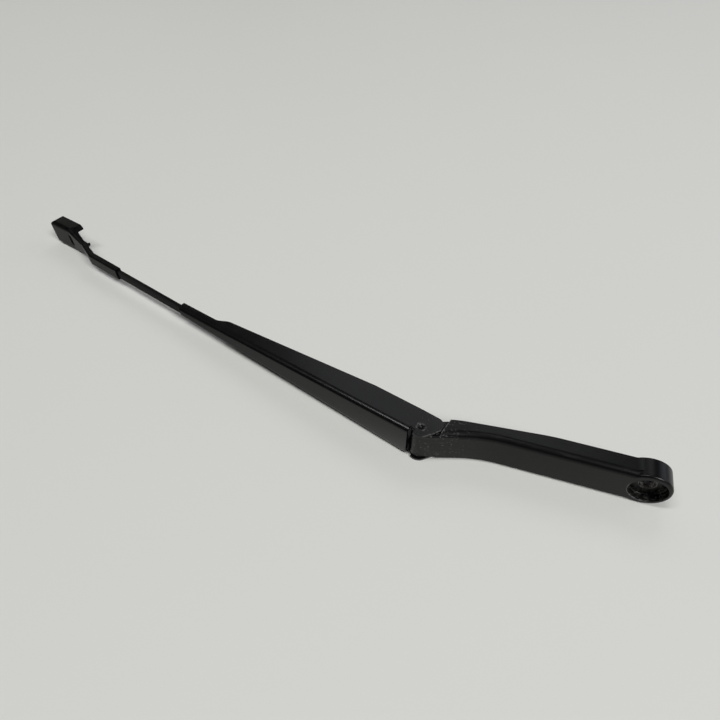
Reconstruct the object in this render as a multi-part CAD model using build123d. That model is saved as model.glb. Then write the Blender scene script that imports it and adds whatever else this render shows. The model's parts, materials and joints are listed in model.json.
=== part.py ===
from build123d import *
import os
from math import cos, hypot, radians, sin, sqrt

# Windscreen wiper arm, lying on its side. Millimetres.
# A cast head clamps on the wiper spindle. A folded steel channel hinges on the head and is pulled towards
# the glass by a tension spring. A flat bar leaves the channel's neck and carries the blade bracket.
# The origin is on the spindle axis, on the face where the spindle nut seats. The hinge axis is +Z, the
# glass is on the +Y side and the arm reaches towards -X.

# Spindle boss of the head
POCKET_DEPTH = 5.7
RIM_WALL = 2.4
BOSS_LIP = 1.65
BOSS_OFFSET = 1.2
BOSS_FOOT = 0.9
BOSS_EDGE_RADIUS = 1.7
BOSS_BLEND_RADIUS = 10.0
POCKET_CORNER_RADIUS = 0.8
SPINDLE_RADIUS = 5.5
SPINDLE_LAND = 4.0
SPINDLE_MOUTH_FLARE = 0.8

# Bar of the head
BAR_WIDTH = 27.5
BAR_THICKNESS = 13.4
BAR_EDGE_RADIUS = 4.4
BAR_LOWER_EDGE_RADIUS = 1.2
HINGE_REACH = 145.4
HINGE_DROP = 11.3
HEAD_SLOPE = 17.0
FRONT_BEND_RADIUS = 100.0
BACK_FLAT = 62.0
BACK_FLAT_RADIUS = 150.0
BACK_BEND_RADIUS = 60.0
KNUCKLE_BACK_LENGTH = 24.0
CORE_SKIN = 3.2
CORE_RIB = 2.4
CORE_RIB_DROP = 2.0
CORE_CELLS = 4
CORE_CORNER_RADIUS = 3.0
CORE_BOSS_WALL = 4.0
CORE_HINGE_WALL = 3.0

# Hinge
KNUCKLE_RADIUS = 6.5
KNUCKLE_WIDTH = 24.0
KNUCKLE_EDGE_RADIUS = 1.0
PIN_RADIUS = 3.0
PIN_STAKE_FLARE = 0.75
PIN_STAKE_DEPTH = 0.7
PIN_DIMPLE_RADIUS = 1.5
PIN_DIMPLE_DEPTH = 0.9
BUSH_WALL = 1.15
BUSH_FLANGE_RADIUS = 5.8
BUSH_FLANGE = 0.75
RUNNING_CLEARANCE = 0.05
PRESS_CLEARANCE = 0.02
EAR_GAP = 0.15
STOP_GAP = 0.5

# Folded channel. It leaves the pin at its own angle, and its lengths are measured from the pin.
CHANNEL_ANGLE = 17.6
CHANNEL_SHEET = 1.6
WEB_FRONT = 7.8
WEB_START = 6.0
FOLD_RADIUS = 3.8
WALL_DEPTH = 20.4
WALL_LEVEL_END = 45.0
SHOULDER_DEPTH = 10.6
SHOULDER_START = 182.0
SHOULDER_LENGTH = 9.0
SHOULDER_RADIUS = 10.0
NECK_LENGTH = 40.0
NECK_END_HALF = 5.9
EAR_RADIUS = 7.9
EAR_END = 12.4
EAR_END_BACK = 4.5
EAR_CORNER_RADIUS = 6.0
RELIEF_WIDTH = 4.0
RELIEF_DEPTH = 4.3
SEAM_GAP = 0.8

# Flat bar
ROD_WIDTH = 8.0
ROD_THICKNESS = 3.0
ROD_END = 345.0
ROD_EYE_REACH = 107.0
ROD_EYE_BACK = 1.7
ROD_EYE_END = 2.8
ROD_EYE_FLAT = 6.0
ROD_JOG_LENGTH = 12.0
ROD_BEND_RADIUS = 6.0
ROD_SIDE_CLEARANCE = 0.05
NECK_BACK_CLEARANCE = 0.1

# Spring link between the head's anchor pin and the bar's eye
ANCHOR_ALONG = 7.54
ANCHOR_BACK = 3.93
ANCHOR_RADIUS = 2.0
ANCHOR_WALL = 1.9
ANCHOR_END_GAP = 0.5
HOOK_SHEET = 2.0
HOOK_WIDTH = 7.0
HOOK_SIDE_CLEARANCE = 0.8
HOOK_SEAT_CLEARANCE = 0.1
HOOK_LIP = 3.0
HOOK_BULGE = 6.9
HOOK_BULGE_LENGTH = 16.2
HOOK_EYE_REACH = 38.5
HOOK_EYE_END = 2.0
HOOK_BEND_RADIUS = 3.0
PIN_SLOT_CLEARANCE = 0.7
SLOT_LENGTH = 14.5
WIRE_RADIUS = 1.2
EYE_CLEARANCE = 0.6
COIL_RADIUS = 5.0
COIL_TURNS = 16
LOOP_REACH = 10.4
LOOP_ARC = 300.0

# Blade bracket, crimped on the bar
BRACKET_SHEET = 1.35
SLEEVE_START = 316.0
SLEEVE_END = 355.0
SLEEVE_CORNER_RADIUS = 1.2
SHANK_BEND = 376.5
SHANK_BEND_RISE = 6.95
SHANK_BEND_HALF = 5.6
SHANK_END = 396.0
SHANK_RISE = 8.74
SHANK_END_DEPTH = 7.6
SHANK_FOLD_RADIUS = 1.8
TOOTH_REACH = 372.5
TOOTH_LENGTH = 5.5
TOOTH_HEIGHT = 1.5
SADDLE_HALF = 12.4
SADDLE_DEPTH = 12.7
SADDLE_LENGTH = 27.0
SADDLE_TILT = 2.0
SADDLE_FOLD_RADIUS = 3.6
SADDLE_END_RADIUS = 1.5
SADDLE_CORNER_RADIUS = 4.0
NOSE_REACH = 5.6
NOSE_DROP = 4.4
NOSE_RADIUS = 3.4
NOSE_START = 6.2
WINDOW_REACH = 0.5
WINDOW_LENGTH = 12.0
WINDOW_WIDTH = 4.5
WINDOW_OFFSET = 0.6

# Sizes and places that follow from the ones above
BAR_HALF = BAR_WIDTH / 2
BOSS_RADIUS = BAR_HALF + BOSS_LIP
POCKET_RADIUS = BOSS_RADIUS - BOSS_OFFSET - RIM_WALL
FRONT_Y = -POCKET_DEPTH
BACK_Y = FRONT_Y + BAR_THICKNESS
BOSS_BACK_Y = BACK_Y + BOSS_FOOT
PIN_X = -HINGE_REACH
PIN_Y = -HINGE_DROP
KNUCKLE_HALF = KNUCKLE_WIDTH / 2
EAR_INNER = KNUCKLE_HALF + BUSH_FLANGE + EAR_GAP
EAR_OUTER = EAR_INNER + CHANNEL_SHEET
PIN_HOLE_RADIUS = PIN_RADIUS + PRESS_CLEARANCE
BUSH_BORE_RADIUS = PIN_RADIUS + RUNNING_CLEARANCE
BUSH_RADIUS = BUSH_BORE_RADIUS + BUSH_WALL
HOOK_HALF = HOOK_WIDTH / 2
SLOT_HALF = HOOK_HALF + HOOK_SIDE_CLEARANCE
SLOT_FRONT = PIN_RADIUS + PIN_SLOT_CLEARANCE
WEB_INNER = -WEB_FRONT + CHANNEL_SHEET
WALL_BACK = -WEB_FRONT + WALL_DEPTH
SHOULDER_BACK = -WEB_FRONT + SHOULDER_DEPTH
SHOULDER_END = SHOULDER_START + SHOULDER_LENGTH
NECK_END = SHOULDER_END + NECK_LENGTH
ROD_FRONT = WEB_INNER
ROD_BACK = ROD_FRONT + ROD_THICKNESS
NECK_CAVITY_BACK = ROD_BACK + NECK_BACK_CLEARANCE
NECK_BACK = NECK_CAVITY_BACK + CHANNEL_SHEET
EYE_RADIUS = WIRE_RADIUS + EYE_CLEARANCE
SLEEVE_FRONT = ROD_FRONT - BRACKET_SHEET
SLEEVE_BACK = ROD_BACK + BRACKET_SHEET
SLEEVE_CAVITY_HALF = ROD_WIDTH / 2 + ROD_SIDE_CLEARANCE
SLEEVE_HALF = SLEEVE_CAVITY_HALF + BRACKET_SHEET
SADDLE_FRONT = SLEEVE_FRONT + SHANK_RISE
SADDLE_END = SHANK_END + SADDLE_LENGTH
SADDLE_PLACE = Pos(SHANK_END, SADDLE_FRONT, 0) * Rot(0, 0, -SADDLE_TILT)

# Reach of cutting solids past what they cut, and how near an edge must lie to the place asked for
BEYOND = 60.0
EDGE_TOLERANCE = 0.01

# Channel frame: X runs from the pin to the tip, Y to the glass side. Its Z is the part's -Z.
CHANNEL = Plane(
    origin=(PIN_X, PIN_Y, 0),
    x_dir=(-cos(radians(CHANNEL_ANGLE)), sin(radians(CHANNEL_ANGLE)), 0),
    z_dir=(0, 0, -1),
)


def head_point(along, back):
    """A point of the sloped hinge end of the head: along it from the pin, and towards the glass side."""
    slope = radians(HEAD_SLOPE)
    x = PIN_X + along * cos(slope) - back * sin(slope)
    y = PIN_Y + along * sin(slope) + back * cos(slope)
    return (x, y)


def corner_of(sketch, point):
    """The corner of a sketch that is nearest to a point."""
    return sketch.vertices().sort_by_distance(Vector(*point))[0]


def outline(points):
    """A face with straight sides through the points."""
    return Sketch() + make_face(Polyline(*points, close=True))


def across(sketch, half_width):
    """A solid that reaches half_width to both sides of the sketch."""
    return extrude(sketch, half_width, both=True)


def disc_along_y(radius, start, end, x=0.0):
    """A cylinder about an axis along Y, through x."""
    plane = Plane((x, start, 0), x_dir=(1, 0, 0), z_dir=(0, 1, 0))
    return extrude(plane * Circle(radius), end - start)


def disc_along_z(radius, point, start, end):
    """A cylinder about an axis along Z, through the point."""
    return extrude(Plane((*point, start)) * Circle(radius), end - start)


ANCHOR = head_point(ANCHOR_ALONG, ANCHOR_BACK)
ROD_EYE = CHANNEL.from_local_coords((ROD_EYE_REACH, ROD_EYE_BACK, 0))
LINK_X = ROD_EYE.X - ANCHOR[0]
LINK_Y = ROD_EYE.Y - ANCHOR[1]
LINK_LENGTH = hypot(LINK_X, LINK_Y)

# Link frame: X runs from the anchor pin to the bar's eye, Y to the glass side
LINK = Plane(origin=(*ANCHOR, 0), x_dir=(LINK_X, LINK_Y, 0), z_dir=(0, 0, -1))


def front_corner():
    """Where the head's level front face would meet its sloped one."""
    slope = radians(HEAD_SLOPE)
    along = (FRONT_Y - PIN_Y + KNUCKLE_RADIUS * cos(slope)) / sin(slope)
    return head_point(along, -KNUCKLE_RADIUS)


def bar_profile(skin):
    """Side view of the head's bar, drawn in from its front face by skin."""
    front_bend = front_corner()
    back_bend = head_point(KNUCKLE_BACK_LENGTH, KNUCKLE_RADIUS)
    slope = radians(HEAD_SLOPE)
    # The inner corner of two faces that both move in by skin
    inner_bend = (front_bend[0] - skin * (1 - cos(slope)) / sin(slope), front_bend[1] + skin)
    profile = outline([
        (-BOSS_OFFSET, FRONT_Y + skin),
        inner_bend,
        head_point(0, -KNUCKLE_RADIUS + skin),
        head_point(0, KNUCKLE_RADIUS),
        back_bend,
        (-BACK_FLAT, BACK_Y),
        (-BOSS_OFFSET, BACK_Y),
    ])
    profile = fillet(corner_of(profile, inner_bend), FRONT_BEND_RADIUS)
    profile = fillet(corner_of(profile, back_bend), BACK_BEND_RADIUS)
    return fillet(corner_of(profile, (-BACK_FLAT, BACK_Y)), BACK_FLAT_RADIUS)


def head_bar():
    """The cast bar with front edges rounded, the upper more, cut off square where the channel's ears begin."""
    bar = across(bar_profile(0), BAR_HALF)
    for side, radius in ((1, BAR_EDGE_RADIUS), (-1, BAR_LOWER_EDGE_RADIUS)):
        front_faces = [face for face in bar.faces() if face.normal_at().Y < -0.5]
        front_edges = [edge for face in front_faces for edge in face.edges()]
        side_edges = [edge for edge in front_edges if side * edge.center().Z > BAR_HALF - EDGE_TOLERANCE]
        bar = fillet(side_edges, radius)
    step = -EAR_END - STOP_GAP
    ear_room = CHANNEL.location * (Pos(step + BEYOND / 2, 0, 0) * Box(BEYOND, BEYOND, BEYOND))
    return bar - ear_room


def boss_blend():
    """Front view of the small hollow curve that leads from the bar's side out to the boss."""
    reach = BOSS_RADIUS + BOSS_BLEND_RADIUS
    centre_z = BAR_HALF + BOSS_BLEND_RADIUS
    centre_x = -BOSS_OFFSET - sqrt(reach**2 - centre_z**2)
    share = BOSS_RADIUS / reach
    touch = (-BOSS_OFFSET + (centre_x + BOSS_OFFSET) * share, centre_z * share)
    leave = (centre_x, BAR_HALF)
    inside = (touch[0], BAR_HALF / 2)
    curve = RadiusArc(leave, touch, BOSS_BLEND_RADIUS)
    return Sketch() + make_face([curve, Line(touch, inside), Line(inside, leave)])


def head_boss():
    """The round spindle boss, with its blends into the bar above and below."""
    boss = disc_along_y(BOSS_RADIUS, FRONT_Y, BOSS_BACK_Y, -BOSS_OFFSET)
    boss = fillet(boss.edges().sort_by(Axis.Y)[0], BOSS_EDGE_RADIUS)
    plane = Plane((0, FRONT_Y + BAR_EDGE_RADIUS, 0), x_dir=(1, 0, 0), z_dir=(0, 1, 0))
    blend = extrude(plane * boss_blend(), BAR_THICKNESS - BAR_EDGE_RADIUS)
    return boss + blend + mirror(blend, Plane.XY)


def head_knuckle():
    """The narrower hinge knuckle between the channel's ears, with a swelling round the anchor pin."""
    side = Sketch() + Pos(PIN_X, PIN_Y) * Circle(KNUCKLE_RADIUS)
    side += outline([
        head_point(0, -KNUCKLE_RADIUS),
        head_point(KNUCKLE_BACK_LENGTH, -KNUCKLE_RADIUS),
        head_point(KNUCKLE_BACK_LENGTH, KNUCKLE_RADIUS),
        head_point(0, KNUCKLE_RADIUS),
    ])
    knuckle = across(side, KNUCKLE_HALF)
    rims = [edge for edge in knuckle.edges() if abs(edge.center().Z) > KNUCKLE_HALF - EDGE_TOLERANCE]
    knuckle = fillet(rims, KNUCKLE_EDGE_RADIUS)
    swelling = disc_along_z(ANCHOR_RADIUS + ANCHOR_WALL, ANCHOR, -KNUCKLE_HALF, KNUCKLE_HALF)
    return knuckle + swelling


def head_core():
    """The hollow under the bar: rounded cells between cross ribs, open to the glass side."""
    first = -BOSS_OFFSET - BOSS_RADIUS - CORE_BOSS_WALL
    last = head_point(SLOT_LENGTH + CORE_HINGE_WALL, KNUCKLE_RADIUS)[0]
    pitch = (first - last + CORE_RIB) / CORE_CELLS
    length = pitch - CORE_RIB
    width = BAR_WIDTH - 2 * CORE_SKIN
    room = across(bar_profile(CORE_SKIN), BAR_HALF)
    plane = Plane((0, -BEYOND / 2, 0), x_dir=(1, 0, 0), z_dir=(0, 1, 0))
    cells = Sketch()
    for number in range(CORE_CELLS):
        middle = first - length / 2 - number * pitch
        cells += Pos(middle, 0) * RectangleRounded(length, width, CORE_CORNER_RADIUS)
    core = extrude(plane * cells, BEYOND) & room
    ribs_length = first - last
    ribs_top = Pos((first + last) / 2, 0) * RectangleRounded(ribs_length, width, CORE_CORNER_RADIUS)
    above_ribs = across(bar_profile(BAR_THICKNESS - CORE_RIB_DROP), BAR_HALF)
    return core + (extrude(plane * ribs_top, BEYOND) & above_ribs)


def hook_slot():
    """The slot in the knuckle that the spring hook swings in. A lip stays in front of the pin."""
    slot = Sketch() + Pos(PIN_X, PIN_Y) * Circle(SLOT_FRONT)
    slot += outline([
        head_point(0, -SLOT_FRONT),
        head_point(SLOT_LENGTH, -SLOT_FRONT),
        head_point(SLOT_LENGTH, BEYOND),
        head_point(-BEYOND, BEYOND),
        head_point(-BEYOND, 0),
        head_point(0, 0),
    ])
    return across(slot, SLOT_HALF)


def spindle_hole():
    """Straight land below the nut seat, then the taper that the spindle's cone enters."""
    wall = outline([
        (0, 0),
        (SPINDLE_RADIUS, 0),
        (SPINDLE_RADIUS, SPINDLE_LAND),
        (SPINDLE_RADIUS + SPINDLE_MOUTH_FLARE, BOSS_BACK_Y),
        (0, BOSS_BACK_Y),
    ])
    return revolve(wall, Axis.Y)


def nut_pocket():
    """The round pocket that the spindle nut sits in, with a rounded floor corner."""
    pocket = disc_along_y(POCKET_RADIUS, FRONT_Y, 0)
    return fillet(pocket.edges().sort_by(Axis.Y)[-1], POCKET_CORNER_RADIUS)


def mounting_head():
    head = head_bar() + head_boss() + head_knuckle()
    head -= head_core()
    head -= nut_pocket() + spindle_hole()
    head -= hook_slot()
    for near, far in ((-KNUCKLE_HALF, -SLOT_HALF), (SLOT_HALF, KNUCKLE_HALF)):
        head -= disc_along_z(BUSH_RADIUS + PRESS_CLEARANCE, (PIN_X, PIN_Y), near, far)
        head -= disc_along_z(ANCHOR_RADIUS + PRESS_CLEARANCE, ANCHOR, near, far)
    return head


def hinge_bush(side):
    """Flanged bush in one lug of the knuckle. side is 1 for the upper lug and -1 for the lower one."""
    wall = outline([
        (BUSH_BORE_RADIUS, SLOT_HALF),
        (BUSH_RADIUS, SLOT_HALF),
        (BUSH_RADIUS, KNUCKLE_HALF),
        (BUSH_FLANGE_RADIUS, KNUCKLE_HALF),
        (BUSH_FLANGE_RADIUS, KNUCKLE_HALF + BUSH_FLANGE),
        (BUSH_BORE_RADIUS, KNUCKLE_HALF + BUSH_FLANGE),
    ])
    upper = revolve(Plane.XZ * wall, Axis.Z)
    bush = upper if side > 0 else mirror(upper, Plane.XY)
    return Pos(PIN_X, PIN_Y, 0) * bush


def pin_body(radius, spread):
    """The pin's outer form: a shank that flares where it is staked into the ears' outer faces."""
    wall = outline([
        (0, -EAR_OUTER),
        (radius + spread, -EAR_OUTER),
        (radius, -EAR_OUTER + PIN_STAKE_DEPTH),
        (radius, EAR_OUTER - PIN_STAKE_DEPTH),
        (radius + spread, EAR_OUTER),
        (0, EAR_OUTER),
    ])
    return revolve(Plane.XZ * wall, Axis.Z)


def hinge_pin():
    pin = pin_body(PIN_RADIUS, PIN_STAKE_FLARE)
    for side in (-1, 1):
        dimple = Cone(0, PIN_DIMPLE_RADIUS, PIN_DIMPLE_DEPTH)
        if side < 0:
            dimple = mirror(dimple, Plane.XY)
        pin -= Pos(0, 0, side * (EAR_OUTER - PIN_DIMPLE_DEPTH / 2)) * dimple
    return Pos(PIN_X, PIN_Y, 0) * pin


def spring_anchor_pin():
    half = KNUCKLE_HALF - ANCHOR_END_GAP
    return disc_along_z(ANCHOR_RADIUS, ANCHOR, -half, half)


def channel_side(front):
    """Side view of the channel with its ears, its sloping back edge and the shoulder down to the neck."""
    start = WEB_START - RELIEF_WIDTH
    # Where the line from the ear's end corner touches the round front of the ear
    reach = hypot(EAR_END, EAR_END_BACK)
    lean = EAR_RADIUS / reach
    swing = sqrt(1 - lean**2)
    touch = (
        lean * (-EAR_END * lean - EAR_END_BACK * swing),
        lean * (EAR_END_BACK * lean - EAR_END * swing),
    )
    foot = (start, -sqrt(EAR_RADIUS**2 - start**2))
    relief = -WEB_FRONT + RELIEF_DEPTH
    edges = [
        Line((WEB_START, front), (NECK_END, front)),
        Line((NECK_END, front), (NECK_END, NECK_BACK)),
        Line((NECK_END, NECK_BACK), (SHOULDER_END, NECK_BACK)),
        Line((SHOULDER_END, NECK_BACK), (SHOULDER_START, SHOULDER_BACK)),
        Line((SHOULDER_START, SHOULDER_BACK), (WALL_LEVEL_END, WALL_BACK)),
        Line((WALL_LEVEL_END, WALL_BACK), (-EAR_END, WALL_BACK)),
        Line((-EAR_END, WALL_BACK), (-EAR_END, EAR_END_BACK)),
        Line((-EAR_END, EAR_END_BACK), touch),
        RadiusArc(touch, foot, -EAR_RADIUS),
        Line(foot, (start, relief)),
        Line((start, relief), (WEB_START, relief)),
        Line((WEB_START, relief), (WEB_START, front)),
    ]
    side = Sketch() + make_face(edges)
    side = fillet(corner_of(side, (-EAR_END, WALL_BACK)), EAR_CORNER_RADIUS)
    for bend in ((SHOULDER_START, SHOULDER_BACK), (SHOULDER_END, NECK_BACK)):
        side = fillet(corner_of(side, bend), SHOULDER_RADIUS)
    return side


def channel_plan(inset):
    """The channel seen from its front: parallel ears, then a taper to the neck, drawn in by inset."""
    wide = EAR_OUTER - inset
    narrow = NECK_END_HALF - inset
    return outline([
        (-BEYOND, wide),
        (WEB_START, wide),
        (NECK_END, narrow),
        (NECK_END, -narrow),
        (WEB_START, -wide),
        (-BEYOND, -wide),
    ])


def along_back(sketch, start, end):
    """A solid over a sketch of the channel's front view, from one depth to another."""
    plane = Plane((0, start, 0), x_dir=(1, 0, 0), z_dir=(0, 1, 0))
    return extrude(plane * sketch, end - start)


def fold_edges(solid, front):
    """The two long edges at the front of a folded form."""
    return [
        edge for edge in solid.edges()
        if abs(edge.center().Y - front) < EDGE_TOLERANCE and edge.length > NECK_END / 2
    ]


def arm_channel():
    outer = across(channel_side(-WEB_FRONT), EAR_OUTER) & along_back(channel_plan(0), -BEYOND, BEYOND)
    outer = fillet(fold_edges(outer, -WEB_FRONT), FOLD_RADIUS)
    open_room = along_back(channel_plan(CHANNEL_SHEET), WEB_INNER, BEYOND)
    open_room = fillet(fold_edges(open_room, WEB_INNER), FOLD_RADIUS - CHANNEL_SHEET)
    neck_start = SHOULDER_END - CHANNEL_SHEET
    before_neck = Pos(neck_start - NECK_END, 0, 0) * Box(2 * NECK_END, 2 * BEYOND, BEYOND)
    channel = outer - (open_room & before_neck)
    between_ears = Pos(WEB_START - BEYOND / 2, 0, 0) * Box(BEYOND, BEYOND, 2 * EAR_INNER)
    channel -= between_ears
    neck_room = along_back(channel_plan(CHANNEL_SHEET), WEB_INNER, NECK_CAVITY_BACK)
    channel -= neck_room & (Pos(neck_start + NECK_LENGTH, 0, 0) * Box(2 * NECK_LENGTH, 2 * BEYOND, BEYOND))
    seam_middle = (NECK_CAVITY_BACK + NECK_BACK) / 2
    channel -= Pos(NECK_END, seam_middle, 0) * Box(3 * NECK_LENGTH, 2 * CHANNEL_SHEET, SEAM_GAP)
    channel = CHANNEL.location * channel
    return channel - Pos(PIN_X, PIN_Y, 0) * pin_body(PIN_HOLE_RADIUS, PIN_STAKE_FLARE)


def arm_rod():
    middle = (ROD_FRONT + ROD_BACK) / 2
    jog = ROD_EYE_REACH + ROD_EYE_FLAT
    path = FilletPolyline(
        (ROD_EYE_REACH - ROD_EYE_END, ROD_EYE_BACK),
        (jog, ROD_EYE_BACK),
        (jog + ROD_JOG_LENGTH, middle),
        (ROD_END, middle),
        radius=ROD_BEND_RADIUS,
    )
    rod = across(trace(path, ROD_THICKNESS), ROD_WIDTH / 2)
    rod -= Pos(ROD_EYE_REACH, ROD_EYE_BACK, 0) * Rot(90, 0, 0) * Cylinder(EYE_RADIUS, 2 * ROD_THICKNESS)
    return CHANNEL.location * rod


def spring_hook():
    """Steel strip that hooks on the anchor pin, arches over the hinge pin and ends in the spring's eye."""
    seat = ANCHOR_RADIUS + HOOK_SEAT_CLEARANCE + HOOK_SHEET / 2
    path = FilletPolyline(
        (HOOK_LIP, -seat),
        (-seat, -seat),
        (-seat, HOOK_BULGE),
        (HOOK_BULGE_LENGTH, HOOK_BULGE),
        (HOOK_BULGE_LENGTH, 0),
        (HOOK_EYE_REACH + HOOK_EYE_END, 0),
        radius=HOOK_BEND_RADIUS,
    )
    hook = across(trace(path, HOOK_SHEET), HOOK_HALF)
    hook -= Pos(HOOK_EYE_REACH, 0, 0) * Rot(90, 0, 0) * Cylinder(EYE_RADIUS, 2 * HOOK_SHEET)
    return LINK.location * hook


def wire_section(tip):
    """The round end of the spring wire where the coil meets a loop."""
    return Plane(tip, x_dir=(1, 0, 0), z_dir=(0, 1, 0)) * Circle(WIRE_RADIUS)


def spring_loop(eye_reach, tip, way):
    """A loop that leaves the tip of the coil and passes through an eye on the link's axis."""
    eye = Vector(eye_reach, 0, 0)
    out = tip - eye
    plane = Plane((tip + eye) / 2, x_dir=out, z_dir=out.cross(Vector(0, way, 0)))
    arc = plane * CenterArc((0, 0), out.length / 2, 0, LOOP_ARC)
    return sweep(wire_section(tip), path=arc)


def tension_spring():
    """Coil with a loop at each end, one in the hook's eye and one in the bar's eye."""
    start = HOOK_EYE_REACH + LOOP_REACH
    length = LINK_LENGTH - LOOP_REACH - start
    path = Helix(length / COIL_TURNS, length, COIL_RADIUS, center=(start, 0, 0), direction=(1, 0, 0))
    spring = sweep(wire_section(path @ 0), path=path, is_frenet=True)
    spring += spring_loop(HOOK_EYE_REACH, path @ 0, 1)
    spring += spring_loop(LINK_LENGTH, path @ 1, -1)
    return LINK.location * spring


def folded_section(half_width, depth, radius):
    """A U of bracket sheet: X across it, Y from its front to the free edges."""
    outer = outline([(-half_width, depth), (-half_width, 0), (half_width, 0), (half_width, depth)])
    for side in (-half_width, half_width):
        outer = fillet(corner_of(outer, (side, 0)), radius)
    inner_half = half_width - BRACKET_SHEET
    inner = outline([
        (-inner_half, depth + BRACKET_SHEET),
        (-inner_half, BRACKET_SHEET),
        (inner_half, BRACKET_SHEET),
        (inner_half, depth + BRACKET_SHEET),
    ])
    for side in (-inner_half, inner_half):
        inner = fillet(corner_of(inner, (side, BRACKET_SHEET)), radius - BRACKET_SHEET)
    return outer - inner


def section_plane(reach, front):
    """A plane across the bracket, with its Y towards the glass side."""
    return Plane((reach, front, 0), x_dir=(0, 0, -1), z_dir=(1, 0, 0))


def bracket_sleeve():
    """The part of the bracket that is crimped round the bar, with a seam at the back."""
    height = SLEEVE_BACK - SLEEVE_FRONT
    plane = section_plane(SLEEVE_START, SLEEVE_FRONT)
    ring = Pos(0, height / 2) * RectangleRounded(2 * SLEEVE_HALF, height, SLEEVE_CORNER_RADIUS)
    ring -= Pos(0, height / 2) * Rectangle(2 * SLEEVE_CAVITY_HALF, ROD_THICKNESS)
    ring -= Pos(0, height) * Rectangle(SEAM_GAP, 2 * BRACKET_SHEET)
    return extrude(plane * ring, SLEEVE_END - SLEEVE_START)


def shank_edge(reach):
    """How far back the free edge of the shank's walls lies, at a distance from the pin."""
    rise = SADDLE_FRONT + SHANK_END_DEPTH - SLEEVE_BACK
    return SLEEVE_BACK + rise * (reach - SLEEVE_END) / (SHANK_END - SLEEVE_END)


def bracket_shank():
    """The neck that bends back from the bar, then flares to the saddle, with a tooth on each free edge."""
    full_depth = SHANK_END_DEPTH + TOOTH_HEIGHT
    narrow = folded_section(SLEEVE_HALF, full_depth, SHANK_FOLD_RADIUS)
    middle = folded_section(SHANK_BEND_HALF, full_depth, SHANK_FOLD_RADIUS)
    wide = folded_section(SADDLE_HALF, full_depth, SADDLE_FOLD_RADIUS)
    sections = [
        section_plane(SLEEVE_END, SLEEVE_FRONT) * narrow,
        section_plane(SHANK_BEND, SLEEVE_FRONT + SHANK_BEND_RISE) * middle,
        SADDLE_PLACE * (section_plane(0, 0) * wide),
    ]
    tooth_end = TOOTH_REACH + TOOTH_LENGTH
    free_edge = outline([
        (SLEEVE_END, BEYOND),
        (SLEEVE_END, shank_edge(SLEEVE_END)),
        (TOOTH_REACH, shank_edge(TOOTH_REACH)),
        (TOOTH_REACH, shank_edge(TOOTH_REACH) + TOOTH_HEIGHT),
        (tooth_end, shank_edge(tooth_end)),
        (SADDLE_END, shank_edge(SADDLE_END)),
        (SADDLE_END, BEYOND),
    ])
    return loft(sections, ruled=True) - across(free_edge, BEYOND)


def bracket_nose():
    """The end of one of the saddle's walls, which overhangs the neck and is bent down over it."""
    half = SADDLE_HALF - BRACKET_SHEET / 2
    reach = NOSE_REACH - BRACKET_SHEET / 2
    bend = NOSE_RADIUS - BRACKET_SHEET / 2
    end = SADDLE_HALF - NOSE_DROP
    path = FilletPolyline((NOSE_REACH, half), (-reach, half), (-reach, end), radius=bend)
    return along_back(trace(path, BRACKET_SHEET), NOSE_START, SADDLE_DEPTH)


def bracket_saddle():
    """The open U that takes the blade, with the bent ends of its walls over the neck."""
    section = section_plane(0, 0) * folded_section(SADDLE_HALF, SADDLE_DEPTH, SADDLE_FOLD_RADIUS)
    saddle = extrude(section, SADDLE_LENGTH)
    nose = bracket_nose()
    saddle += [nose, mirror(nose, Plane.XY)]
    free_corners = saddle.edges().filter_by(Axis.Z).sort_by_distance((SADDLE_LENGTH, SADDLE_DEPTH, 0))[:2]
    saddle = fillet(free_corners, SADDLE_END_RADIUS)
    front_view = RectangleRounded(2 * BEYOND, 2 * SADDLE_HALF, SADDLE_CORNER_RADIUS)
    saddle &= along_back(Pos(SADDLE_LENGTH - BEYOND, 0) * front_view, 0, SADDLE_DEPTH)
    return SADDLE_PLACE * saddle


def bracket_window():
    """The slot through the bracket's front, where the neck meets the saddle."""
    slot = Pos(WINDOW_REACH, WINDOW_OFFSET) * Rot(0, 0, 90) * SlotOverall(WINDOW_LENGTH, WINDOW_WIDTH)
    return SADDLE_PLACE * along_back(slot, -SADDLE_FOLD_RADIUS, SADDLE_FOLD_RADIUS)


def end_bracket():
    bracket = bracket_sleeve() + bracket_shank() + bracket_saddle() - bracket_window()
    return CHANNEL.location * bracket


NODES = {
    "mounting_head": mounting_head(),
    "hinge_bush_upper": hinge_bush(1),
    "hinge_bush_lower": hinge_bush(-1),
    "hinge_pin": hinge_pin(),
    "spring_anchor_pin": spring_anchor_pin(),
    "spring_hook": spring_hook(),
    "tension_spring": tension_spring(),
    "arm_channel": arm_channel(),
    "arm_rod": arm_rod(),
    "end_bracket": end_bracket(),
}

os.makedirs("parts", exist_ok=True)
for name, solid in NODES.items():
    export_step(solid, f"parts/{name}.step")
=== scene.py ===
import json
import math

import bpy
from mathutils import Matrix, Vector


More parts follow.
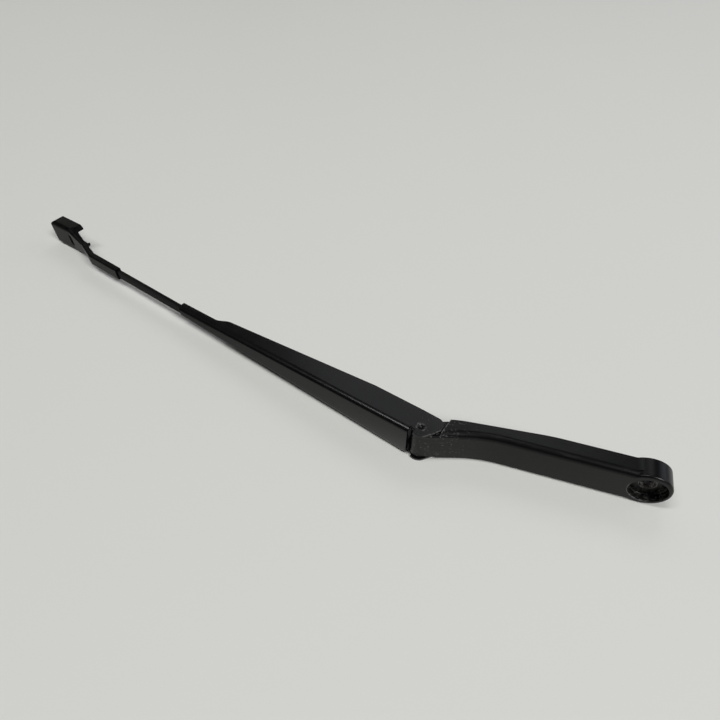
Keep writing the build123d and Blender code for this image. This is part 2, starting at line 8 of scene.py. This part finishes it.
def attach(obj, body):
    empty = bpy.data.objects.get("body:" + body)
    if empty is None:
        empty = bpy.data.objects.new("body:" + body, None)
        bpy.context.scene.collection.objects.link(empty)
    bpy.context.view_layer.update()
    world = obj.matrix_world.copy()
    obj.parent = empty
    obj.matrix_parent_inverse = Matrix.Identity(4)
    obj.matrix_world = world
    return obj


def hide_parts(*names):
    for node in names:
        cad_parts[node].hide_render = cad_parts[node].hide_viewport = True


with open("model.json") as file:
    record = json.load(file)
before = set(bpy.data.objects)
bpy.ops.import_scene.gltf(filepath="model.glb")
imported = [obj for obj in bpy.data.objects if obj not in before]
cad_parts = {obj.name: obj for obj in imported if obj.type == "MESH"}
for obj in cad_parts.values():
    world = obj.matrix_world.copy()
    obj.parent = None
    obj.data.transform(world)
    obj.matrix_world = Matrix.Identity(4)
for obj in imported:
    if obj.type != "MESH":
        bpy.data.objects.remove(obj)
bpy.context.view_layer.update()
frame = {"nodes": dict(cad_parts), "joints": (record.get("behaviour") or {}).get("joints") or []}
nodes = frame["nodes"]


# The mounting head is a pressure-cast lever with a matt black coat, a little grainy from the mould.
# Handling has left dust near its hinge, and a spindle nut has dirtied and rubbed the pocket in its boss.
# The lighter line on the lower left of the pocket's rim is partly rubbed bare and partly a painted
# highlight, and a grey ring round a small round hollow in the pocket is a painted highlight on its rim.
class Field:
    """A number, colour or direction that varies over a surface: one output socket of a material."""

    def __init__(self, tree, socket=None):
        self.tree = tree
        self.socket = socket

    def node(self, kind, settings, sockets, output=0):
        """The output of a new node, which has its settings made first and its sockets filled after."""
        made = self.tree.nodes.new(kind)
        for name, value in settings.items():
            setattr(made, name, value)
        for name, value in sockets.items():
            Field.fill(made.inputs[name], value)
        return Field(self.tree, made.outputs[output])

    @staticmethod
    def fill(socket, value):
        """Links a varying value to a socket, or sets a fixed one on it."""
        if isinstance(value, Field):
            value.tree.links.new(value.socket, socket)
        else:
            socket.default_value = value

    def math(self, operation, first, second):
        return self.node("ShaderNodeMath", {"operation": operation}, {0: first, 1: second})

    def __add__(self, other):
        return self.math("ADD", self, other)

    def __sub__(self, other):
        return self.math("SUBTRACT", self, other)

    def __rsub__(self, other):
        return self.math("SUBTRACT", other, self)

    def __mul__(self, other):
        return self.math("MULTIPLY", self, other)

    __radd__ = __add__
    __rmul__ = __mul__

    def rise(self, low, high):
        """0 where this number is below low, 1 above high, and a smooth step between."""
        limits = {"Value": self, "From Min": low, "From Max": high}
        return self.node("ShaderNodeMapRange", {"interpolation_type": "SMOOTHSTEP"}, limits)

    def band(self, low, high, soft):
        """1 where this number is between low and high, and 0 from soft beyond them."""
        return self.rise(low - soft, low) * (1 - self.rise(high, high + soft))

    def noise(self, size, detail=2.0):
        """Soft patches about as wide as size, in metres, on these coordinates."""
        return self.node("ShaderNodeTexNoise", {}, {"Vector": self, "Scale": 1 / size, "Detail": detail})

    def vector(self, operation, other, output="Vector"):
        return self.node("ShaderNodeVectorMath", {"operation": operation}, {0: self, 1: other}, output)

    def stretched(self, scale):
        """These coordinates with each axis scaled."""
        return self.vector("MULTIPLY", scale)

    def away(self, centre):
        """The distance from a point."""
        return self.vector("DISTANCE", centre, "Value")

    def along(self, way):
        """How far this place lies in a direction."""
        return self.vector("DOT_PRODUCT", way, "Value")

    def past(self, point, way):
        """How far this place lies beyond a point, in a direction."""
        return self.along(way) - way.dot(point)

    def over(self, under, colour):
        """A colour laid over another one, as thickly as this number says."""
        return self.node("ShaderNodeMix", {"data_type": "RGBA"}, {0: self, 6: under, 7: colour}, 2)


def new_finish(name):
    """A new material: itself, the sockets of its surface, and the place on the piece."""
    material = bpy.data.materials.new(name)
    material.use_nodes = True
    surface = material.node_tree.nodes["Principled BSDF"].inputs
    place = Field(material.node_tree).node("ShaderNodeTexCoord", {}, {}, "Object")
    return material, surface, place


def grain(surface, height):
    """Gives a surface small hills and hollows of a height in metres."""
    bump = height.node("ShaderNodeBump", {}, {"Height": height, "Distance": 1.0}, "Normal")
    Field.fill(surface["Normal"], bump)


FRONT = Vector((0, -1, 0))
UP = Vector((0, 0, 1))
TIP_WAY = Vector((-0.953, 0.302, 0))
hinge_joint = next(joint for joint in frame["joints"] if joint["name"] == "arm_lift")
hinge_point = Vector(hinge_joint["pos_m"])
cast_coat, surface, place = new_finish("cast_coat")

DUST_CORE = 0.0135
DUST_REACH = 0.045
SPECK_SIZE = 0.0016
SPECK_RANGE = (0.60, 0.71)
SMEAR_STRETCH = (0.35, 1, 1)
SMEAR_SIZE = 0.004
SMEAR_RANGE = (0.55, 0.75)
near_hinge = 1 - place.away(hinge_point).rise(DUST_CORE, DUST_REACH)
specks = place.noise(SPECK_SIZE).rise(*SPECK_RANGE) * near_hinge
smears = place.stretched(SMEAR_STRETCH).noise(SMEAR_SIZE, detail=4.0).rise(*SMEAR_RANGE)

EDGE_SOFT = 0.0002
STEP_BAND = (-0.0133, -0.0128)
STEP_TOP = (0.01305, 0.01335)
CHIP_SIZE = 0.002
STEP_CHIP_RANGE = (0.35, 0.5)
step_edge = place.past(hinge_point, TIP_WAY).band(*STEP_BAND, EDGE_SOFT)
step_edge = step_edge * place.along(UP).rise(*STEP_TOP)
chips = step_edge * place.noise(CHIP_SIZE).rise(*STEP_CHIP_RANGE)

# The lighter line on the lower left of the pocket's rim is partly metal rubbed bare by the nut and partly a
# painted highlight.
POCKET_RADIUS = 0.0118
RIM_BAND = (0.0116, 0.0121)
RIM_FRONT = (0.0051, 0.0054)
RUBBED_AND_HIGHLIT_WAY = (-0.75, 0, -0.65)
RUBBED_AND_HIGHLIT_REACH = (0.004, 0.009)
RUBBED_AND_HIGHLIT_RANGE = (0.3, 0.5)
from_spindle = place.stretched((1, 0, 1)).away((0, 0, 0))
in_pocket = 1 - from_spindle.rise(POCKET_RADIUS, POCKET_RADIUS + EDGE_SOFT)
rubbed_and_highlit_rim_band = from_spindle.band(*RIM_BAND, EDGE_SOFT) * place.along(FRONT).rise(*RIM_FRONT)
rubbed_and_highlit_rim_band = rubbed_and_highlit_rim_band * place.along(RUBBED_AND_HIGHLIT_WAY).rise(*RUBBED_AND_HIGHLIT_REACH)
rubbed_and_highlit_rim = rubbed_and_highlit_rim_band * place.noise(CHIP_SIZE).rise(*RUBBED_AND_HIGHLIT_RANGE)

CRUMB_SIZE = 0.0009
CRUMB_RANGE = (0.66, 0.72)
GRIME_SIZE = 0.0015
GRIME_RANGE = (0.48, 0.66)
# A grey ring round a small round hollow in the pocket, which isn't modelled, is a painted highlight on the
# hollow's rim.
HOLLOW_PLACE = (0.0103, -0.0008, -0.0040)
HOLLOW_RIM = (0.0019, 0.0024)
HOLLOW_RIM_SOFT = 0.0003
crumbs = in_pocket * place.noise(CRUMB_SIZE, detail=1.0).rise(*CRUMB_RANGE)
grime = in_pocket * place.noise(GRIME_SIZE, detail=3.0).rise(*GRIME_RANGE)
hollow_rim_highlight = place.away(HOLLOW_PLACE).band(*HOLLOW_RIM, HOLLOW_RIM_SOFT)

COAT_BLACK = (0.0032, 0.0032, 0.0033, 1)
GRIME_BROWN = (0.032, 0.031, 0.026, 1)
DUST_AND_HIGHLIGHT_GREY = (0.20, 0.195, 0.185, 1)
BARE_METAL_AND_HIGHLIGHT = (0.42, 0.42, 0.43, 1)
SPECK_COVER = 0.38
SMEAR_COVER = 0.12
CRUMB_COVER = 0.7
HOLLOW_RIM_HIGHLIGHT_COVER = 0.25
CHIP_COVER = 0.2
RUBBED_AND_HIGHLIT_COVER = 0.3
dust_dirt_and_rim_highlight = specks * SPECK_COVER + smears * near_hinge * SMEAR_COVER + crumbs * CRUMB_COVER + hollow_rim_highlight * HOLLOW_RIM_HIGHLIGHT_COVER
bared_and_highlit = chips * CHIP_COVER + rubbed_and_highlit_rim * RUBBED_AND_HIGHLIT_COVER
coat = dust_dirt_and_rim_highlight.over(grime.over(COAT_BLACK, GRIME_BROWN), DUST_AND_HIGHLIGHT_GREY)
Field.fill(surface["Base Color"], bared_and_highlit.over(coat, BARE_METAL_AND_HIGHLIGHT))

CAST_ROUGH = 0.29
SMEAR_ROUGH = 0.10
GRIME_ROUGH = 0.15
CAST_GLOSS = 0.21
MOULD_GRAIN = 0.0007
MOULD_HEIGHT = 0.00004
Field.fill(surface["Roughness"], smears * SMEAR_ROUGH + grime * GRIME_ROUGH + CAST_ROUGH)
grain(surface, place.noise(MOULD_GRAIN, detail=3.0) * MOULD_HEIGHT)
surface["Specular IOR Level"].default_value = CAST_GLOSS
nodes["mounting_head"].data.materials[0] = cast_coat


# The spindle bore has fine teeth, cut through the coat into the bare casting. Only the picture needs them:
# the part's own bore is plain.
TEETH = 26
ROOT_RADIUS = 0.0054
TIP_SHARE = 0.92
RING_RADIUS = 0.0056
LAND = 0.0040
SPINDLE_TURN = (math.radians(90), 0, 0)

bpy.ops.object.select_all(action="DESELECT")
bpy.ops.mesh.primitive_circle_add(vertices=2 * TEETH, radius=ROOT_RADIUS, rotation=SPINDLE_TURN)
teeth = bpy.context.object
teeth.name = "bore_teeth"
bpy.ops.object.transform_apply(location=True, rotation=True, scale=True)
for edge in teeth.data.edges:
    edge.select = False
for corner in teeth.data.vertices:
    corner.select = corner.index % 2 == 0
bpy.ops.object.mode_set(mode="EDIT")
bpy.ops.transform.resize(value=(TIP_SHARE, TIP_SHARE, TIP_SHARE), center_override=(0, 0, 0))
bpy.ops.mesh.select_all(action="DESELECT")
bpy.ops.mesh.primitive_circle_add(vertices=2 * TEETH, radius=RING_RADIUS, rotation=SPINDLE_TURN)
bpy.ops.mesh.select_all(action="SELECT")
bpy.ops.mesh.bridge_edge_loops()
bpy.ops.mesh.select_all(action="SELECT")
bpy.ops.mesh.extrude_region_move(TRANSFORM_OT_translate={"value": (0, LAND, 0)})
bpy.ops.mesh.select_all(action="SELECT")
bpy.ops.mesh.normals_make_consistent(inside=False)
bpy.ops.object.mode_set(mode="OBJECT")

TOOTH_METAL = (0.21, 0.20, 0.19, 1)
TOOTH_STAIN = (0.05, 0.045, 0.04, 1)
STAIN_SIZE = 0.002
STAIN_RANGE = (0.45, 0.65)
TOOTH_ROUGH = 0.5
bare_cast, surface, place = new_finish("bare_cast")
stain = place.noise(STAIN_SIZE, detail=3.0).rise(*STAIN_RANGE)
Field.fill(surface["Base Color"], stain.over(TOOTH_METAL, TOOTH_STAIN))
surface["Metallic"].default_value = 1.0
surface["Roughness"].default_value = TOOTH_ROUGH
teeth.data.materials.append(bare_cast)
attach(teeth, "head")


# The hinge is a hardened pin, spread at both ends in the channel's ears, with a hammered dimple in each end.
# It turns in two plastic bushes that are pressed into the head.
# A broken, lighter ring round each dimple is partly rubbed metal and partly a painted highlight on the
# dimple's rim; the streaks are scratches.
RUB_AND_HIGHLIGHT_RING = (0.0027, 0.0036)
RUB_AND_HIGHLIGHT_SOFT = 0.0003
RUB_AND_HIGHLIGHT_SIZE = 0.0030
RUB_AND_HIGHLIGHT_RANGE = (0.50, 0.58)
RUB_AND_HIGHLIGHT_COVER = 0.35
SCRATCH_STRETCH = (1, 4, 1)
SCRATCH_SIZE = 0.003
SCRATCH_RANGE = (0.62, 0.68)
SCRATCH_COVER = 0.15
CLEAN_CENTRE = (0.0020, 0.0027)
RUBBED_AND_HIGHLIGHT_GREY = (0.13, 0.13, 0.125, 1)
PIN_ROUGH = 0.42
DIMPLE_SLOPE = (0.0006, 0.0030)
DIMPLE_DEPTH = 0.0010
HAMMER_SIZE = 0.0014
HAMMER_HEIGHT = 0.0004
pin_finish, surface, place = new_finish("pin_finish")
from_axis = place.stretched((1, 1, 0)).away((hinge_point.x, hinge_point.y, 0))
dimple_rim_rub_and_highlight = from_axis.band(*RUB_AND_HIGHLIGHT_RING, RUB_AND_HIGHLIGHT_SOFT) * place.noise(RUB_AND_HIGHLIGHT_SIZE, detail=3.0).rise(*RUB_AND_HIGHLIGHT_RANGE)
scratch = place.stretched(SCRATCH_STRETCH).noise(SCRATCH_SIZE).rise(*SCRATCH_RANGE)
scratches_rubs_and_highlight = (dimple_rim_rub_and_highlight * RUB_AND_HIGHLIGHT_COVER + scratch * SCRATCH_COVER) * from_axis.rise(*CLEAN_CENTRE)
Field.fill(surface["Base Color"], scratches_rubs_and_highlight.over(COAT_BLACK, RUBBED_AND_HIGHLIGHT_GREY))
surface["Roughness"].default_value = PIN_ROUGH
grain(surface, from_axis.rise(*DIMPLE_SLOPE) * DIMPLE_DEPTH + place.noise(HAMMER_SIZE) * HAMMER_HEIGHT)
for name in ("hinge_pin", "spring_anchor_pin"):
    nodes[name].data.materials[0] = pin_finish

BUSH_DARK = (0.02, 0.019, 0.018, 1)
BUSH_PATCH = 0.002
BUSH_ROUGH = 0.5
bush_finish, surface, place = new_finish("bush_finish")
Field.fill(surface["Base Color"], place.noise(BUSH_PATCH).over(BUSH_DARK, COAT_BLACK))
surface["Roughness"].default_value = BUSH_ROUGH
for name in ("hinge_bush_upper", "hinge_bush_lower"):
    nodes[name].data.materials[0] = bush_finish


# The channel is pressed from steel sheet and coated satin black. Its faces bulge a little and turn upwards
# towards the tip. Dust lies on it near the hinge, and its upper ear's edge is chipped.
CROWN_RADIUS = 0.11
TWIST_LENGTH = 0.40
TWIST_END = 0.2


def crown(place):
    """The height of faces that bulge a little and turn upwards towards the arm's tip."""
    up = place.along(UP)
    reach = place.past(hinge_point, TIP_WAY)
    reach = reach.math("MINIMUM", reach.math("MAXIMUM", reach, 0.0), TWIST_END)
    return up * up * (-0.5 / CROWN_RADIUS) - up * reach * (1 / TWIST_LENGTH)


EAR_WAY = Vector((0.632, -0.776, 0))
EAR_EDGE = (0.0072, 0.0075)
EAR_TOP = (0.0141, 0.0143)
EAR_CHIP_RANGE = (0.4, 0.55)
EAR_CHIP_COVER = 0.35
sheet_coat, surface, place = new_finish("sheet_coat")
ear_edge = place.past(hinge_point, EAR_WAY).rise(*EAR_EDGE) * place.along(UP).rise(*EAR_TOP)
chips = ear_edge * place.noise(CHIP_SIZE).rise(*EAR_CHIP_RANGE)

MOTE_SIZE = 0.0010
MOTE_RANGE = (0.73, 0.78)
MOTE_REACH = (0.01, 0.03)
MOTE_COVER = 0.4
motes = place.noise(MOTE_SIZE, detail=1.0).rise(*MOTE_RANGE)
motes = motes * (1 - place.away(hinge_point).rise(*MOTE_REACH))

COAT_WORN = (0.0045, 0.0045, 0.0046, 1)
SHEET_FLOW = 0.012
FLOW_RANGE = (0.45, 0.8)
FLOW_ROUGH = 0.08
SHEET_ROUGH = 0.20
SHEET_GLOSS = 0.38
SHEET_GRAIN = 0.0011
SHEET_HEIGHT = 0.00001
flow = place.noise(SHEET_FLOW, detail=3.0)
coat = flow.rise(*FLOW_RANGE).over(COAT_BLACK, COAT_WORN)
Field.fill(surface["Base Color"], (chips * EAR_CHIP_COVER + motes * MOTE_COVER).over(coat, DUST_AND_HIGHLIGHT_GREY))
Field.fill(surface["Roughness"], flow * FLOW_ROUGH + SHEET_ROUGH)
grain(surface, place.noise(SHEET_GRAIN) * SHEET_HEIGHT + crown(place))
surface["Specular IOR Level"].default_value = SHEET_GLOSS
nodes["arm_channel"].data.materials[0] = sheet_coat


# The flat bar is crimped in the channel's neck, and the blade bracket is crimped on its other end.
# Both are steel with the same coat, a little duller than the channel.
BAR_FLOW = 0.008
BAR_ROUGH = 0.26
BAR_GLOSS = 0.18
BAR_GRAIN = 0.0009
BAR_HEIGHT = 0.00001
bar_coat, surface, place = new_finish("bar_coat")
flow = place.noise(BAR_FLOW, detail=3.0)
Field.fill(surface["Base Color"], flow.rise(*FLOW_RANGE).over(COAT_BLACK, COAT_WORN))
Field.fill(surface["Roughness"], flow * FLOW_ROUGH + BAR_ROUGH)
grain(surface, place.noise(BAR_GRAIN) * BAR_HEIGHT + crown(place))
surface["Specular IOR Level"].default_value = BAR_GLOSS
nodes["arm_rod"].data.materials[0] = bar_coat

BRACKET_BLACK = (0.0065, 0.0063, 0.0056, 1)
BRACKET_FLOW = 0.006
BRACKET_RANGE = (0.35, 0.7)
BRACKET_GLOSS = 0.06
BRACKET_GRAIN = 0.0008
BRACKET_HEIGHT = 0.00002
bracket_coat, surface, place = new_finish("bracket_coat")
flow = place.noise(BRACKET_FLOW, detail=3.0)
Field.fill(surface["Base Color"], flow.rise(*BRACKET_RANGE).over(COAT_BLACK, BRACKET_BLACK))
Field.fill(surface["Roughness"], flow * FLOW_ROUGH + BAR_ROUGH)
grain(surface, place.noise(BRACKET_GRAIN, detail=3.0) * BRACKET_HEIGHT)
surface["Specular IOR Level"].default_value = BRACKET_GLOSS
nodes["end_bracket"].data.materials[0] = bracket_coat


# The tension spring is wound from round wire, with a loop in the eye of a folded steel link and a loop in
# the eye of the bar. Spring and link are zinc plated, dulled by a few winters. The part's own spring is
# stouter, and this one keeps clear of the channel when the arm is lifted.
WIRE_RADIUS = 0.0011
WIRE_SIDES = 10
COIL_RADIUS = 0.0043
COIL_TURNS = 18
COIL_STEPS = 20
LOOP_REACH = 0.0072
LOOP_TURN = math.radians(300)
LOOP_STEPS = 24
LINK_EYE = Vector((0.0385, 0, 0))
BAR_EYE = Vector((0.11113, 0, 0))
LINK_WAY = Vector((-0.96771, 0.252065, 0))
ACROSS = Vector((0, 1, 0))
TIP_NEAR = 1.05 * WIRE_RADIUS
TIP_FLAT = 0.01 * WIRE_RADIUS
swing_joint = next(joint for joint in frame["joints"] if joint["name"] == "spring_swing")
coil_start = LINK_EYE + Vector((LOOP_REACH, 0, COIL_RADIUS))
coil_end = BAR_EYE + Vector((-LOOP_REACH, 0, COIL_RADIUS))

bpy.ops.object.select_all(action="DESELECT")
bpy.ops.mesh.primitive_circle_add(
    vertices=WIRE_SIDES, radius=WIRE_RADIUS, location=coil_start, rotation=SPINDLE_TURN)
spring = bpy.context.object
spring.name = "wound_spring"
bpy.ops.object.transform_apply(location=True, rotation=True, scale=True)
winding = spring.modifiers.new("winding", "SCREW")
winding.axis = "X"
winding.iterations = COIL_TURNS
winding.screw_offset = (coil_end.x - coil_start.x) / COIL_TURNS
winding.steps = COIL_STEPS
winding.render_steps = COIL_STEPS
bpy.ops.object.modifier_apply(modifier="winding")
for tip, eye, way in ((coil_start, LINK_EYE, 1), (coil_end, BAR_EYE, -1)):
    for part in (*spring.data.polygons, *spring.data.edges):
        part.select = False
    for corner in spring.data.vertices:
        at_tip = abs(corner.co.x - tip.x) < TIP_NEAR
        corner.select = at_tip and corner.co.z > 0 and abs(corner.co.y) < TIP_FLAT
    bpy.ops.object.mode_set(mode="EDIT")
    bpy.ops.mesh.select_mode(type="VERT")
    loop_axis = way * (tip - eye).cross(ACROSS).normalized()
    bpy.ops.mesh.spin(steps=LOOP_STEPS, angle=LOOP_TURN, center=(tip + eye) / 2, axis=loop_axis)
    bpy.ops.mesh.edge_face_add()
    bpy.ops.object.mode_set(mode="OBJECT")
bpy.ops.object.mode_set(mode="EDIT")
bpy.ops.mesh.select_all(action="SELECT")
bpy.ops.mesh.normals_make_consistent(inside=False)
bpy.ops.mesh.flip_normals()
bpy.ops.object.mode_set(mode="OBJECT")
bpy.ops.object.shade_smooth()
link_place = Matrix((LINK_WAY, UP.cross(LINK_WAY), UP)).transposed().to_4x4()
link_place.translation = Vector(swing_joint["pos_m"])
spring.data.transform(link_place)
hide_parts("tension_spring")
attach(spring, "spring_link")

ZINC = (0.33, 0.33, 0.34, 1)
ZINC_DULL = (0.16, 0.155, 0.15, 1)
DULL_SIZE = 0.004
DULL_RANGE = (0.4, 0.7)
ZINC_BLOOM = 0.002
BLOOM_ROUGH = 0.2
ZINC_ROUGH = 0.32
zinc_plate, surface, place = new_finish("zinc_plate")
Field.fill(surface["Base Color"], place.noise(DULL_SIZE, detail=4.0).rise(*DULL_RANGE).over(ZINC, ZINC_DULL))
surface["Metallic"].default_value = 1.0
Field.fill(surface["Roughness"], place.noise(ZINC_BLOOM, detail=3.0) * BLOOM_ROUGH + ZINC_ROUGH)
nodes["spring_hook"].data.materials[0] = zinc_plate
spring.data.materials.append(zinc_plate)


# The floor is a pale sheet. The arm lies on it on its side, on the lower ear of its hinge and the edge of
# the blade bracket.
FLOOR_SIZE = 14.0
FLOOR_UP = Vector((0.0060, 0.0022, 1)).normalized()
corners = [vertex.co for node in nodes.values() for vertex in node.data.vertices]
floor_level = min(FLOOR_UP.dot(corner) for corner in corners)
floor_place = FLOOR_UP.to_track_quat("Z", "Y").to_matrix().to_4x4()
floor_place.translation = FLOOR_UP * floor_level

bpy.ops.object.select_all(action="DESELECT")
bpy.ops.mesh.primitive_plane_add(size=FLOOR_SIZE)
floor = bpy.context.object
floor.name = "floor"
floor.data.transform(floor_place)

PAPER_PALE = (0.70, 0.70, 0.665, 1)
PAPER_PALER = (0.715, 0.715, 0.68, 1)
PAPER_PATCH = 0.4
PAPER_ROUGH = 0.6
PAPER_GLOSS = 0.2
floor_paper, surface, place = new_finish("floor_paper")
Field.fill(surface["Base Color"], place.noise(PAPER_PATCH).over(PAPER_PALE, PAPER_PALER))
surface["Roughness"].default_value = PAPER_ROUGH
surface["Specular IOR Level"].default_value = PAPER_GLOSS
floor.data.materials.append(floor_paper)


# Studio light: a long soft lamp overhead, a second lamp at the front right, and four dim panels that the
# coats mirror, in a dark room.
def add_light(name, place, size, power, colour):
    """A rectangular lamp that faces the origin."""
    data = bpy.data.lights.new(name, "AREA")
    data.shape = "RECTANGLE"
    data.size, data.size_y = size
    data.energy = power
    data.color = colour
    lamp = bpy.data.objects.new(name, data)
    lamp.location = place
    lamp.rotation_euler = place.to_track_quat("Z", "Y").to_euler()
    bpy.context.collection.objects.link(lamp)


WHITE = (1, 1, 1)
COOL = (0.95, 0.97, 1.0)
BLUISH = (0.85, 0.88, 1.0)
WARM = (1, 0.98, 0.93)
add_light("overhead_lamp", Vector((-2.0, -0.75, 6.4)), (0.8, 3.8), 145.0, WHITE)
add_light("front_lamp", Vector((4.2, -2.5, 5.0)), (2.5, 2.0), 335.0, WHITE)
add_light("back_panel", Vector((-0.77, 3.1, 3.2)), (2.6, 1.75), 10.5, COOL)
add_light("head_panel", Vector((0.50, 3.16, 3.2)), (1.36, 1.75), 9.8, COOL)
add_light("right_panel", Vector((4.05, 1.98, 2.1)), (3.4, 2.6), 31.0, BLUISH)
add_light("left_panel", Vector((-2.92, 2.28, 1.2)), (1.6, 1.2), 4.5, WARM)

ROOM_DIM = (0.02, 0.02, 0.021, 1)
room = bpy.data.worlds.new("room")
room.use_nodes = True
room.node_tree.nodes["Background"].inputs["Color"].default_value = ROOM_DIM
bpy.context.scene.world = room
bpy.context.scene.view_settings.view_transform = "Standard"


# The camera stands over the arm and looks down along it. Its place, turn and lens were fitted to the
# outlines of the boss and the head.
CAMERA_PLACE = Vector((-0.1158, -0.2203, 0.3075))
CAMERA_LOOK = Vector((-0.2181, 0.6380, -0.7386))
CAMERA_UP = Vector((0.0102, 0.0022, 1))
CAMERA_LENS = 27.05
CAMERA_SENSOR = 36.0
camera_data = bpy.data.cameras.new("camera")
camera_data.lens = CAMERA_LENS
camera_data.sensor_width = CAMERA_SENSOR
camera = bpy.data.objects.new("camera", camera_data)
right = CAMERA_LOOK.cross(CAMERA_UP).normalized()
up = right.cross(CAMERA_LOOK).normalized()
turn = Matrix((right, up, -CAMERA_LOOK.normalized())).transposed()
camera.matrix_world = Matrix.Translation(CAMERA_PLACE) @ turn.to_4x4()
bpy.context.collection.objects.link(camera)
bpy.context.scene.camera = camera
